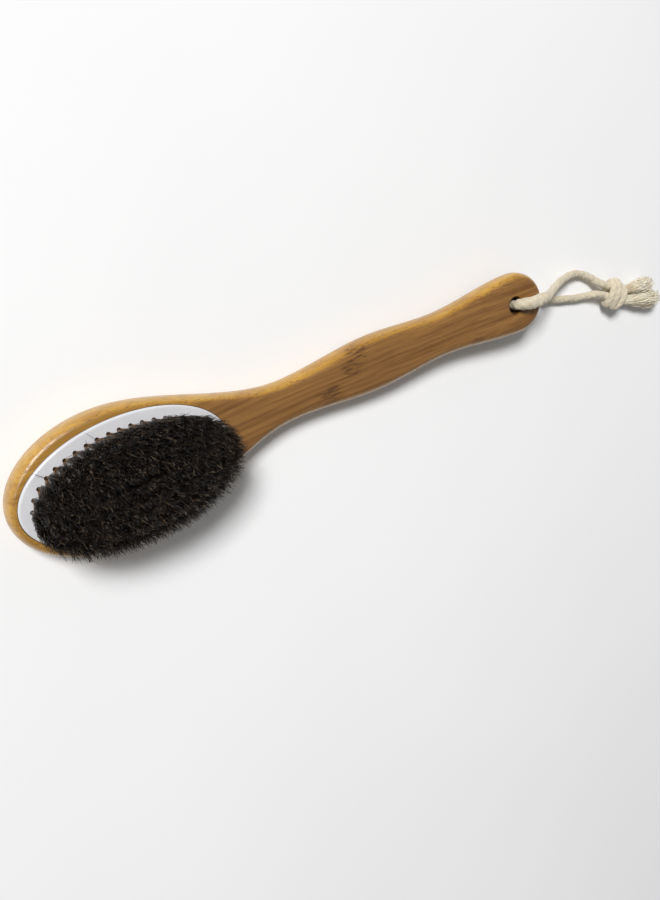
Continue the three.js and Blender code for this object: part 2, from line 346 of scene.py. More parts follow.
def cotton_material(name, dull, bright, fluff):
    """Undyed cotton: cream yarn darkened by a per-point value of painted shade (in the valleys)
    and random tone, with lint and a slight stain near a cut end.
    """
    g = Graph(name)
    patches = g.noise(g.stretched((0.12, 0.12, 0.12)), detail=2)
    fibres = g.noise(g.stretched((2.6, 2.6, 2.6)), detail=4, roughness=0.7)
    lint = g.noise(g.stretched((0.7, 0.7, 0.7)), detail=3)
    cream = g.mix(g.span(patches, 0.3, 0.7), dull, bright)
    cream = g.mix(g.span(fibres, 0.35, 0.75), cream, fluff)
    # Painted shade in the rope's valleys and in the handle's hole, and darker threads at random on
    # the frayed ends, all from one value.
    cream = g.mix(g.math("MULTIPLY", g.attribute("painted_shade_and_tone"), 0.35), cream, rgb(0.40, 0.32, 0.21))
    cream = g.mix(g.math("MULTIPLY", g.attribute("stain"), 0.85), cream, rgb(0.50, 0.32, 0.13))
    height = g.math("ADD", fibres, g.math("MULTIPLY", lint, 0.6))
    g.set(
        Base_Color=cream,
        Roughness=g.span(fibres, 0.2, 0.8, 0.82, 1.0),
        Normal=g.bump(height, 0.35),
    )
    g.shader.inputs["Sheen Weight"].default_value = 0.3
    g.shader.inputs["Sheen Roughness"].default_value = 0.5
    g.shader.inputs["Specular IOR Level"].default_value = 0.25
    return g.material


cotton = cotton_material(
    "cotton_rope", rgb(0.59, 0.50, 0.35), rgb(0.68, 0.60, 0.44), rgb(0.78, 0.71, 0.56))
# The frayed ends get paler cotton colours: partly painted light that makes up for the shade
# between the loose threads.
fray_cotton_lightened = cotton_material(
    "frayed_cotton_painted_lighter", rgb(0.82, 0.72, 0.50), rgb(0.91, 0.84, 0.65), rgb(0.96, 0.92, 0.79))

# ------------------------------------------------------------------ rope

STRAND_REACH = 0.5  # from the rope's middle to the middle of each of its three strands
STRAND_RADIUS = 2.5
LAY_LENGTH = 13.5  # along the rope for one turn of a strand
VALLEY_SHARE = 0.16  # depth of a full valley, as a share of the rope's radius
YARNS = 12
YARN_RELIEF = 0.13
LUMP_RELIEF = 0.22
ROPE_SIDES = 48
ROPE_STEP = 0.55
FRONT_SCALE = 0.9  # the strands are stretched thinner than the slack rope
BACK_SCALE = 0.87
FRONT_PLUMP = (21.0, 14.0, 0.5)  # where, over what reach and how much the front swells
MOUTH_TOP = 24.5  # height of the handle's face round the rope hole


def laid_section(distance):
    """Radii round a three-strand rope, and painted shade for each point, darkest deep in the
    valleys.
    """
    angle = TAU * np.arange(ROPE_SIDES) / ROPE_SIDES
    turned = angle - TAU * distance / LAY_LENGTH
    local = np.mod(turned, TAU / 3) - TAU / 6
    across = STRAND_REACH * np.sin(local)
    radii = STRAND_REACH * np.cos(local) + np.sqrt(STRAND_RADIUS ** 2 - across ** 2)
    outer = STRAND_REACH + STRAND_RADIUS
    depth = (outer - radii) / (VALLEY_SHARE * outer)
    yarn = np.cos(YARNS * angle + 1.1 * distance) * np.cos(1.9 * distance - 3 * angle)
    lump = np.sin(0.83 * distance + 2 * angle) * np.sin(0.37 * distance - angle)
    # Painted shade: darker deep in the valleys between strands and between yarns.
    shade = np.clip(depth, 0, 1) + 0.2 * (1 - yarn) / 2
    return radii + YARN_RELIEF * yarn + LUMP_RELIEF * lump, shade


def rope_skin(path, start=0.0, scale=1.0, plump=None, shaded=False):
    """A watertight laid rope along a path of evenly spaced points in millimetres.

    The lay begins at the start distance. The plump values are a distance, a reach and how much
    thicker the rope is there. A shaded rope gets painted shade where it lies in the handle's hole.
    """
    _, first, second = steady_frames(path)
    angle = TAU * np.arange(ROPE_SIDES) / ROPE_SIDES
    points = []
    shades_and_tones = []
    distance = start
    for k, middle in enumerate(path):
        if k:
            distance += np.linalg.norm(middle - path[k - 1])
        radii, depth = laid_section(distance)
        near_end = min(k, len(path) - 1 - k)
        radii = radii * scale * (1 - 0.18 * max(0, 2 - near_end) / 2)
        if plump:
            radii = radii * (1 + plump[2] * math.exp(-((distance - plump[0]) / plump[1]) ** 4))
        ring = middle + radii[:, None] * (
            np.cos(angle)[:, None] * first[k] + np.sin(angle)[:, None] * second[k])
        points.extend(ring)
        # Painted shade inside the handle's hole.
        if shaded:
            below = np.clip((MOUTH_TOP - ring[:, 2]) / 4, 0, 1)
            depth = depth + 2.0 * below * (distance < 20)
        shades_and_tones.extend(depth)
    loops = np.array(points).reshape(len(path), ROPE_SIDES, 3)
    skin, faces = stacked_loops(loops, round_cap)
    return np.array(skin), faces, np.array(shades_and_tones)


def add_values(mesh, name, values):
    layer = mesh.attributes.new(name, "FLOAT", "POINT")
    layer.data.foreach_set("value", np.asarray(values, dtype=np.float32))


def rope_piece(name, skins, replaces=()):
    points = []
    faces = []
    shades_and_tones = []
    for skin, skin_faces, depth in skins:
        append_skin(points, faces, skin, skin_faces)
        shades_and_tones.extend(depth)
    mesh = make_mesh(name, points, faces)
    add_values(mesh, "painted_shade_and_tone", shades_and_tones)
    return add_piece(name, mesh, "hanging_loop", cotton, replaces)


def in_mm(route):
    return np.asarray(route) * 1000


def route_length(route):
    """Length in metres of the smooth curve through a cord's route."""
    path = smooth_path(route, 0.0005)
    return float(np.linalg.norm(np.diff(path, axis=0), axis=1).sum())


front_path = smooth_path(in_mm(FRONT_ROUTE), ROPE_STEP)
back_path = smooth_path(in_mm(BACK_ROUTE), ROPE_STEP)
front_skin = rope_skin(front_path, scale=FRONT_SCALE, plump=FRONT_PLUMP, shaded=True)
back_skin = rope_skin(back_path, start=5.0, scale=BACK_SCALE)
front_strand = rope_piece("rope_front", [front_skin], ["rope_front_strand"])
back_strand = rope_piece("rope_back", [back_skin], ["rope_back_strand"])


def knot_point(along, across, rise):
    """A point about the knot's middle: along its axis, to its left and above it."""
    cos, sin = math.cos(KNOT_HEADING), math.sin(KNOT_HEADING)
    turned = (along * cos - across * sin, along * sin + across * cos, rise)
    return np.array(KNOT_CENTRE) + turned


def knot_wrap(along, start, turns, drift, across, rise):
    """One wrap of the rope, flattened, whose two ends tuck in towards the knot's middle."""
    points = []
    for t in np.linspace(0, 1, 30):
        tuck = KNOT_TUCK + (1 - KNOT_TUCK) * smooth(clamp01(min(t, 1 - t) / 0.12))
        angle = start + TAU * turns * t
        points.append(knot_point(
            along + drift * (t - 0.5), across * tuck * math.cos(angle),
            rise * tuck * math.sin(angle)))
    return smooth_path(points, ROPE_STEP)


# The turn that shows on top of the knot: along, across and above, as knot_point takes them.
KNOT_TURN = [
    (-1.6, 7.4, -2.2), (-2.5, 8.0, 1.0), (-3.0, 6.0, 4.4), (-3.0, 1.5, 5.6), (-2.6, -3.2, 5.0),
    (-1.6, -7.0, 3.0), (0.9, -9.0, 1.6), (3.6, -7.2, 2.4), (4.7, -2.8, 4.6), (4.7, 2.2, 4.4),
    (4.0, 5.6, 1.8), (3.2, 6.0, -1.8),
]
# The turn beside it, nearer the two strands.
KNOT_BESIDE = [
    (-4.6, 6.6, -2.4), (-5.7, 6.9, 0.8), (-6.3, 3.6, 4.2), (-6.3, -1.5, 4.4), (-5.7, -6.0, 2.6),
    (-4.6, -8.4, -0.6), (-3.4, -7.0, -3.2),
]


# The wraps under these turns: their place along the knot, start angle, number of turns, drift
# along the knot, half width and half height, and then the start of the lay and the scale.
KNOT_WRAPS = [
    ((-3.6, -1.2, 1.15, 1.6, 7.6, 4.4), 0.0, 1.0),
    ((3.4, 1.9, 1.12, -1.6, 6.4, 4.2), 4.0, 0.95),
]
KNOT_TUCK = 0.30  # how close a wrap's ends come to the knot's middle, as a share of its size


def knot_skins():
    """The turns of the knot, over the strands that pass through them."""
    skins = []
    for turn, lay, scale in ((KNOT_TURN, 0.0, 1.0), (KNOT_BESIDE, 4.0, 0.92)):
        route = [knot_point(*p) for p in turn]
        skins.append(rope_skin(smooth_path(route, ROPE_STEP), lay, scale))
    for wrap, lay, scale in KNOT_WRAPS:
        skins.append(rope_skin(knot_wrap(*wrap), lay, scale))
    for route, end in ((FRONT_ROUTE, "upper"), (BACK_ROUTE, "lower")):
        route = in_mm(route)
        inwards = (route[-1] - route[-2]) / np.linalg.norm(route[-1] - route[-2])
        stop = np.array(FRAYED_ENDS[end][0])
        core = [route[-1] - 3 * inwards, route[-1], (route[-1] + stop) / 2, stop]
        skins.append(rope_skin(smooth_path(core, ROPE_STEP), 2.0, 0.97))
    return skins


knot = rope_piece("knot", knot_skins(), ["rope_knot"])

FRAY_YARNS = 110
FRAY_LINT = 380
FRAY_POINTS = 16  # along each yarn and thread of lint
FRAY_TWIST = 1.7  # how far the yarns turn round their middle, in radians
FRAY_FLOOR = 0.6  # lowest height of a yarn's middle
YARN_RADII = (0.32, 0.5)
LINT_RADIUS = 0.11


def thread_skin(path, radii, sides):
    """A thin closed thread along a path of points."""
    _, first, second = steady_frames(path)
    angle = TAU * np.arange(sides) / sides
    ring = (np.cos(angle)[None, :, None] * first[:, None]
            + np.sin(angle)[None, :, None] * second[:, None])
    loops = path[:, None] + radii[:, None, None] * ring
    points, faces = stacked_loops(loops, round_cap)
    return np.array(points), faces


def fray_radius(f, bloom):
    """How far the frayed yarns reach from their middle, by the share of the way along."""
    return 2.6 + bloom * smooth(clamp01((f - 0.12) / 0.7))


# Ripples of a frayed end's middle: height, waves round it, and how they turn along it.
FLUFF_RIPPLES = ((0.55, 5, 9), (0.40, 9, -14), (0.30, 3, 31), (0.22, 14, 22))


def fluff_core(start, axis, side, up, reach, bloom, rng):
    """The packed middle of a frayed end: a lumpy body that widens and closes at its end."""
    sides = 40
    loops = []
    angle = TAU * np.arange(sides) / sides
    shifts = rng.uniform(0, TAU, 6)
    for t in np.linspace(-0.06, 0.86, 34):
        close = math.sqrt(max(0.02, 1 - clamp01((t - 0.62) / 0.24) ** 2))
        ripple = sum(
            height * np.sin(waves * angle + turn * t + shift)
            for (height, waves, turn), shift in zip(FLUFF_RIPPLES, shifts))
        radius = (0.78 * fray_radius(max(t, 0), bloom) + ripple * clamp01(2.5 * t)) * close
        ring = (start + axis * reach * t + radius[:, None] * (
            np.cos(angle)[:, None] * side + np.sin(angle)[:, None] * up))
        ring[:, 2] = np.maximum(ring[:, 2], 0.3)
        loops.append(ring)
    points, faces = stacked_loops(loops, round_cap)
    return np.array(points), faces


def fray_thread(rng, lint, start, frame_axes, reach, bloom):
    """One wavy yarn, or a finer and shorter thread of lint, round a frayed end's middle."""
    axis, side, up = frame_axes
    angle = rng.uniform(0, TAU)
    depth = rng.uniform(0.75, 1.05) if lint else rng.uniform(0.70, 0.98)
    phase = rng.uniform(0, TAU, 4)
    wave = rng.uniform(0.5, 1.1) * (1.4 if lint else 1.0)
    begin = rng.uniform(0.0, 0.6) if lint else rng.uniform(-0.05, 0.35)
    finish = min(1.0, begin + rng.uniform(0.25, 0.5)) if lint else rng.uniform(0.8, 1.0)
    path = []
    for f in np.linspace(begin, finish, FRAY_POINTS):
        out = depth * fray_radius(max(f, 0), bloom)
        around = angle + FRAY_TWIST * (1 - math.exp(-3 * f))
        wobble = wave * clamp01(2.2 * f)
        dx = wobble * (math.sin(phase[0] + 11 * f) + 0.4 * math.sin(phase[1] + 27 * f))
        dz = wobble * (math.sin(phase[2] + 10 * f) + 0.4 * math.sin(phase[3] + 25 * f))
        point = (start + axis * f * reach + side * (out * math.cos(around) + dx)
                 + up * (out * math.sin(around) + dz))
        point[2] = max(point[2], FRAY_FLOOR)
        path.append(point)
    thick = LINT_RADIUS if lint else rng.uniform(*YARN_RADII)
    taper = np.linspace(1, 0.7, FRAY_POINTS)
    return thread_skin(np.array(path), thick * taper, 3 if lint else 6)


def frayed_end(name, end, seed, node, stained, bloom):
    """A cut rope end come apart into curly yarns and finer lint round a packed middle."""
    rng = np.random.default_rng(seed)
    start, stop = (np.array(p, dtype=float) for p in FRAYED_ENDS[end])
    reach = np.linalg.norm(stop - start)
    axis = (stop - start) / reach
    side = np.cross(axis, (0, 0, 1))
    side /= np.linalg.norm(side)
    up = np.cross(side, axis)

    def stain(skin, strength):
        along = (skin - start) @ axis / reach
        return stained * strength * np.exp(-((along - 0.12) / 0.2) ** 2)

    middle, middle_faces = fluff_core(start, axis, side, up, reach, bloom, rng)
    points = []
    faces = []
    append_skin(points, faces, middle, middle_faces)
    stains = [stain(middle, 0.8)]
    shades_and_tones = [np.full(len(middle), 0.1)]
    for k in range(FRAY_YARNS + FRAY_LINT):
        skin, skin_faces = fray_thread(rng, k >= FRAY_YARNS, start, (axis, side, up), reach, bloom)
        append_skin(points, faces, skin, skin_faces)
        stains.append(stain(skin, rng.uniform(0.4, 1.0)))
        shades_and_tones.append(np.full(len(skin), rng.uniform(0, 0.2)))
    mesh = make_mesh(name, points, faces)
    add_values(mesh, "stain", np.concatenate(stains))
    add_values(mesh, "painted_shade_and_tone", np.concatenate(shades_and_tones))
    return add_piece(name, mesh, "hanging_loop", fray_cotton_lightened, [node])


frayed = [
    frayed_end("frayed_yarns_upper", "upper", 11, "frayed_end_upper", 0.9, 2.4),
    frayed_end("frayed_yarns_lower", "lower", 12, "frayed_end_lower", 0.15, 3.6),
]

route_length(FRONT_ROUTE)
route_length(BACK_ROUTE)

# ------------------------------------------------------------------ bamboo body

STATIONS = (HEAD, NECK, BELLY, WAIST, HANDLE_END)
CENTRED = -LENGTH / 2


def half_width(x):
    """Half width of the body at x, between the outline's stations."""
    for a, b in zip(STATIONS, STATIONS[1:]):
        if a[0] <= x <= b[0]:
            return a[1] + (b[1] - a[1]) * smooth((x - a[0]) / (b[0] - a[0]))
    return HEAD[1]


def bow(x):
    """How high the body's back rises above the floor at x."""
    return BOW_RISE * clamp01((x - BOW_FROM) / (LENGTH - BOW_FROM)) ** 2


def towards_handle(x):
    """0 on the head and 1 on the handle, with a smooth step between them."""
    return smooth(clamp01((x - THINNING[0]) / (THINNING[1] - THINNING[0])))


def thickness(x):
    return HEAD_THICK + (HANDLE_THICK - HEAD_THICK) * towards_handle(x)


def side_outline():
    """Points along one side of the outline, from the head's tip to the handle's end."""
    points = []
    tip_steps = 30
    for i in range(tip_steps):
        angle = math.pi / 2 * i / tip_steps
        points.append((HEAD[0] * (1 - math.cos(angle)), HEAD[1] * math.sin(angle)))
    for (a, b), steps in zip(zip(STATIONS, STATIONS[1:]), (40, 22, 20, 22)):
        for i in range(steps):
            x = a[0] + (b[0] - a[0]) * i / steps
            points.append((x, half_width(x)))
    end_steps = 24
    for i in range(end_steps + 1):
        angle = math.pi / 2 * i / end_steps
        x = HANDLE_END[0] + (LENGTH - HANDLE_END[0]) * math.sin(angle)
        points.append((x, HANDLE_END[1] * math.cos(angle)))
    return points


def inset_loop(side, inset, height):
    """The outline moved inwards at right angles to itself and mirrored into a loop."""
    last = len(side) - 1
    moved = []
    for i, (x, y) in enumerate(side):
        if i == 0:
            moved.append((x + inset(x), 0.0))
        elif i == last:
            moved.append((x - inset(x), 0.0))
        else:
            dx = side[i + 1][0] - side[i - 1][0]
            dy = side[i + 1][1] - side[i - 1][1]
            run = math.hypot(dx, dy)
            moved.append((x + inset(x) * dy / run, y - inset(x) * dx / run))
    mirrored = [(x, -y) for x, y in moved[1:last]]
    return [(x, y, height(x)) for x, y in [*reversed(moved), *mirrored]]


def face_edge(x):
    return FACE_EDGE_HEAD + (FACE_EDGE_HANDLE - FACE_EDGE_HEAD) * towards_handle(x)


def body_blank():
    """The bamboo body with rounded edges, before the recess and the rope hole are cut."""
    side = side_outline()
    flat_margin = 1.5
    loops = [inset_loop(side, lambda x: BACK_EDGE_ACROSS + flat_margin, bow)]
    for k in range(EDGE_STEPS + 1):
        angle = math.pi / 2 * k / EDGE_STEPS
        inward = BACK_EDGE_ACROSS * (1 - math.sin(angle))
        rise = BACK_EDGE_DEEP * (1 - math.cos(angle))
        loops.append(inset_loop(side, lambda x: inward, lambda x: bow(x) + rise))
    for k in range(EDGE_STEPS + 1):
        angle = math.pi / 2 * k / EDGE_STEPS
        share = 1 - math.cos(angle)
        drop = FACE_EDGE_DEEP * (1 - math.sin(angle))
        loops.append(inset_loop(
            side, lambda x: face_edge(x) * share, lambda x: bow(x) + thickness(x) - drop))
    loops.append(inset_loop(
        side, lambda x: face_edge(x) + flat_margin, lambda x: bow(x) + thickness(x)))
    return make_mesh("bamboo_blank", *stacked_loops(loops, mirrored_cap), CENTRED)


def oval_loop(inset, z, sides=128):
    angles = TAU * np.arange(sides) / sides
    return [
        (PLATE_X + (PLATE_HALF[0] - inset) * math.cos(a), (PLATE_HALF[1] - inset) * math.sin(a), z)
        for a in angles
    ]


def round_loop(x, y, radius, z, sides):
    angles = TAU * np.arange(sides) / sides
    return [(x + radius * math.cos(a), y + radius * math.sin(a), z) for a in angles]


def recess_tool():
    loops = [oval_loop(-RECESS_GAP, z) for z in (RECESS_FLOOR, HEAD_THICK + 3)]
    return make_mesh("recess", *stacked_loops(loops, round_cap), CENTRED)


def rope_hole_tool():
    """The rope hole with a softened mouth at both faces."""
    low = bow(HOLE_X)
    high = low + HANDLE_THICK
    beyond = 3
    wide = HOLE_RADIUS + HOLE_CHAMFER + beyond
    profile = [
        (wide, low - beyond), (HOLE_RADIUS + 0.25, low + 0.55 * HOLE_CHAMFER),
        (HOLE_RADIUS, low + 1.4 * HOLE_CHAMFER), (HOLE_RADIUS, high - 1.4 * HOLE_CHAMFER),
        (HOLE_RADIUS + 0.25, high - 0.55 * HOLE_CHAMFER), (wide, high + beyond),
    ]
    loops = [round_loop(HOLE_X, 0, radius, z, 48) for radius, z in profile]
    return make_mesh("rope_hole", *stacked_loops(loops, round_cap), CENTRED)


# Bamboo knuckles that show on the face: middle x, lowest y, highest y and length, in mm.
KNUCKLES = (
    (9.0, -10.5, -1.0, 9.0),
    (27.0, -0.5, 9.0, 10.0),
    (33.0, 7.0, 15.5, 10.0),
    (-118.0, -36.0, -26.0, 6.0),
    (118.0, -18.0, -10.0, 5.0),
)
STRIP_WIDTH = 4.6


def knuckle_mask(g, x, y, knuckle):
    """One where a knuckle's mark lies, with soft sides and ends."""
    centre, low, high, reach = knuckle
    along = g.math("ABSOLUTE", g.math("SUBTRACT", x, centre))
    lengthways = g.span(along, reach, 0.25 * reach)
    sideways = g.math(
        "MULTIPLY", g.span(y, low - 1.5, low + 1.0), g.span(y, high + 1.5, high - 1.0))
    return g.math("MULTIPLY", lengthways, sideways)


def bore_distance(g, x, y):
    """Distance from the rope hole's axis."""
    along = g.math("POWER", g.math("SUBTRACT", x, HOLE_X + CENTRED), 2.0)
    squares = g.math("ADD", along, g.math("POWER", y, 2.0))
    return g.math("POWER", squares, 0.5)


def bamboo_material():
    """Varnished laminated bamboo: brown streaked faces and golden, dotted sides; the faces' darker
    brown is partly the wood's colour and partly painted shade.
    """
    g = Graph("varnished_bamboo")
    x, y, z = g.axes(g.stretched((1, 1, 1)))

    # Strips: the laminations run along x and wander a little.
    drift = g.noise(g.stretched((0.012, 0.03, 0.03)), detail=2)
    across = g.math("ADD", g.math("ADD", y, g.math("MULTIPLY", drift, 4.0)),
                    g.math("MULTIPLY", z, 0.35))
    strip = g.math("FLOOR", g.math("DIVIDE", across, STRIP_WIDTH))
    strip_tone = g.node("ShaderNodeTexWhiteNoise", {"W": strip}, noise_dimensions="1D").outputs[0]
    warped = g.node("ShaderNodeCombineXYZ", {0: x, 1: across, 2: z}).outputs[0]

    def grain(scale, **settings):
        made = g.node("ShaderNodeVectorMath", {0: warped, 1: scale}, operation="MULTIPLY")
        return g.noise(made.outputs[0], **settings)

    broad = grain((0.006, 0.24, 0.12), detail=2)
    streaks = grain((0.010, 0.62, 0.3), detail=3)
    fine = grain((0.022, 2.4, 1.6), detail=4, roughness=0.65)
    threads = grain((0.05, 6.5, 6.5), detail=2)

    # Tone: one value for the grain, used for the brown of the faces and the gold of the sides.
    tone = g.math("ADD", g.math("MULTIPLY", broad, 0.6), g.math("MULTIPLY", streaks, 0.95))
    tone = g.math("ADD", tone, g.math("MULTIPLY", strip_tone, 0.16))
    tone = g.math("ADD", tone, g.math("MULTIPLY", fine, 0.95))
    tone = g.span(tone, 0.82, 1.76)
    brown = g.mix(tone, rgb(0.120, 0.042, 0.009), rgb(0.33, 0.162, 0.042))
    golden = g.mix(tone, rgb(0.33, 0.150, 0.020), rgb(0.56, 0.315, 0.044))

    # Partly painted shade: the flat faces get the darker brown and the rounded sides the lighter
    # gold, by which way the surface faces; the head stays mostly gold.
    facing = g.axes(g.coordinates.outputs["Normal"])[2]
    flatness = g.math("ABSOLUTE", facing)
    wander = g.math("MULTIPLY", g.math("SUBTRACT", streaks, 0.5), 0.5)
    face_brown_and_shade = g.span(g.math("ADD", flatness, wander), 0.66, 0.97)
    face_brown_and_shade = g.math("MULTIPLY", face_brown_and_shade, g.span(x, -82.0, -60.0, 0.42, 1.0))
    colour = g.mix(face_brown_and_shade, golden, brown)

    # Dark threads along the grain, and pores where the rounded edges cut across the fibres.
    shade = g.mix(0.5, colour, rgb(0.05, 0.018, 0.005))
    colour = g.mix(g.math("MULTIPLY", g.span(threads, 0.56, 0.76), 0.4), colour, shade)
    pores = grain((0.34, 1.6, 1.2), detail=2)
    edge_zone = g.math("MULTIPLY", g.span(flatness, 0.35, 0.72), g.span(flatness, 1.0, 0.93))
    dots = g.math("MULTIPLY", g.span(pores, 0.55, 0.66), edge_zone)
    colour = g.mix(g.math("MULTIPLY", dots, 0.6), colour, rgb(0.16, 0.062, 0.015))

    # Knuckles: mottled dark marks with ragged ends.
    ragged = g.math("SUBTRACT", grain((0.10, 0.8, 0.5), detail=3), 0.5)
    torn_x = g.math("ADD", x, g.math("MULTIPLY", ragged, 26.0))
    marks = knuckle_mask(g, torn_x, y, KNUCKLES[0])
    for knuckle in KNUCKLES[1:]:
        marks = g.math("MAXIMUM", marks, knuckle_mask(g, torn_x, y, knuckle))
    mottled = g.math("MULTIPLY", marks, g.span(grain((0.16, 1.0, 0.8), detail=4), 0.36, 0.60))
    colour = g.mix(g.math("MULTIPLY", mottled, 0.75), colour, rgb(0.075, 0.026, 0.008))

    # Painted shade: the rope hole's wall is darker than the rest.
    bore_shade = g.span(bore_distance(g, x, y), HOLE_RADIUS + 0.9, HOLE_RADIUS + 0.3, 0.0, 0.9)
    colour = g.mix(bore_shade, colour, rgb(0.045, 0.018, 0.006))

    height = g.math("ADD", g.math("MULTIPLY", fine, 0.5), g.math("MULTIPLY", threads, 0.35))
    height = g.math("SUBTRACT", height, g.math("MULTIPLY", dots, 0.5))
    swell = g.noise(g.stretched((0.02, 0.11, 0.11)), detail=2)
    g.set(
        Base_Color=colour,
        Roughness=g.span(fine, 0.3, 0.75, 0.34, 0.50),
        Normal=g.bump(height, 0.10, under=g.bump(swell, 0.7)),
        Coat_Normal=g.bump(height, 0.12, under=g.bump(swell, 0.7)),
    )
    g.shader.inputs["Coat Weight"].default_value = 0.8
    g.shader.inputs["Coat Roughness"].default_value = 0.27
    g.shader.inputs["Specular IOR Level"].default_value = 0.35
    return g.material


bamboo = bamboo_material()
body_mesh = cut(body_blank(), [recess_tool(), rope_hole_tool()])
add_piece("bamboo_brush_body", body_mesh, "brush", bamboo, ["bamboo_body"], sharp=38)

# ------------------------------------------------------------------ plate


def tuft_ring(half, count, flare):
    """Places at an equal pitch round an oval, each with the point its tips lean out to."""
    fine = 720
    angles = TAU * np.arange(fine + 1) / fine
    points = np.stack([PLATE_X + half[0] * np.cos(angles), half[1] * np.sin(angles)], axis=1)
    steps = np.linalg.norm(np.diff(points, axis=0), axis=1)
    reached = np.concatenate([[0], np.cumsum(steps)])
    places = []
    for k in range(count):
        angle = angles[np.searchsorted(reached, reached[-1] * (k + 0.5) / count)]
        out = np.array((math.cos(angle), math.sin(angle)))
        foot = np.array((PLATE_X, 0)) + np.array(half) * out
        places.append((foot, foot + flare * out))
    return places


def ring_half(k):
    return (OUTER_RING[0] - k * RING_STEP, OUTER_RING[1] - k * RING_STEP)


rings = [
    tuft_ring(ring_half(k), count, flare)
    for k, (count, flare) in enumerate(zip(RING_COUNTS, RING_FLARES))
]
core_row = []
for k in range(CORE_COUNT):
    core_foot = np.array((PLATE_X - CORE_REACH + 2 * CORE_REACH * k / (CORE_COUNT - 1), 0.0))
    core_row.append((core_foot, core_foot))
all_places = [place for ring in rings for place in ring] + core_row


def plate_blank():
    """The oval plate with a rounded lip, before the tuft holes are cut."""
    loops = [oval_loop(0.6, PLATE_BOTTOM), oval_loop(0, PLATE_BOTTOM + 0.6)]
    lip_steps = 8
    for k in range(lip_steps + 1):
        angle = math.pi / 2 * k / lip_steps
        loops.append(oval_loop(
            PLATE_LIP * (1 - math.cos(angle)), PLATE_TOP - PLATE_LIP * (1 - math.sin(angle))))
    loops.append(oval_loop(PLATE_LIP + 1.0, PLATE_TOP))
    return make_mesh("plate_blank", *stacked_loops(loops, round_cap), CENTRED)


def tuft_holes_tool():
    """One blind hole with a countersunk mouth for each tuft."""
    points = []
    faces = []
    for foot, _ in all_places:
        loops = [
            round_loop(foot[0], foot[1], TUFT_HOLE_RADIUS, z, 14)
            for z in (TUFT_HOLE_BOTTOM, PLATE_TOP - 0.25)
        ]
        loops.append(round_loop(foot[0], foot[1], TUFT_HOLE_RADIUS + 0.6, PLATE_TOP + 0.75, 14))
        append_skin(points, faces, *stacked_loops(loops, round_cap))
    return make_mesh("tuft_holes", points, faces, CENTRED)


def plate_material():
    """Glossy white moulded plastic with faint flow marks and a little dust."""
    g = Graph("white_moulded_plastic")
    cloud = g.noise(g.stretched((0.05, 0.05, 0.05)), detail=2)
    dust = g.noise(g.stretched((1.8, 1.8, 1.8)), detail=3, roughness=0.7)
    colour = g.mix(g.span(cloud, 0.3, 0.7), rgb(0.64, 0.64, 0.66), rgb(0.69, 0.69, 0.71))
    specks = g.math("MULTIPLY", g.span(dust, 0.66, 0.78), 0.25)
    colour = g.mix(specks, colour, rgb(0.42, 0.39, 0.36))
    relief = g.math("ADD", cloud, g.math("MULTIPLY", dust, 0.04))
    g.set(
        Base_Color=colour,
        Roughness=g.span(dust, 0.3, 0.8, 0.20, 0.32),
        Normal=g.bump(relief, 0.25),
    )
    g.shader.inputs["Coat Weight"].default_value = 0.35
    g.shader.inputs["Coat Roughness"].default_value = 0.12
    return g.material


plate_mesh = cut(plate_blank(), [tuft_holes_tool()])
add_piece(
    "tuft_plate", plate_mesh, "brush", plate_material(), ["bristle_plate"], sharp=38)

# ------------------------------------------------------------------ bristles

HAIR_LEVELS = np.array((-1.2, 2.6, 9.0, 15.5, 21.2))  # heights above the plate
HAIR_RADII = np.array((0.13, 0.135, 0.14, 0.13, 0.06))
ROOT_RADIUS = 0.55
LEG_REACH = 2.9  # how far the two halves of a folded tuft lean apart
LEG_SHARE = np.array((0.0, 0.22, 0.74, 1.0, 0.8))  # of that reach, at each level
LEG_START = 0.45  # how far each half of the fold stands from the tuft's middle at the foot
TIP_REACH = 5.2  # how far a tuft's tips spread from its middle
WANDER = 0.75  # how far a bristle strays from its line at the tip
COMBED = np.array((0.7, -1.8))  # how far every tip leans one way
STRAY_REACH = (4.5, 8.5)  # how far a stray bristle lies out over the plate
STRAY_SHARE = np.array((0, 0.12, 0.4, 0.72, 1.0))  # of that reach, at each level
STRAY_RISE = np.array((1.2, 2.6, 3.6, 4.2))  # its height above the plate from the second level
OUTER_HAIRS = 135
INNER_HAIRS = 130


def disc_points(rng, count, radius):
    """Random points spread evenly over a disc."""
    angle = rng.uniform(0, TAU, count)
    out = radius * np.sqrt(rng.uniform(0, 1, count))
    return np.stack([out * np.cos(angle), out * np.sin(angle)], axis=1)


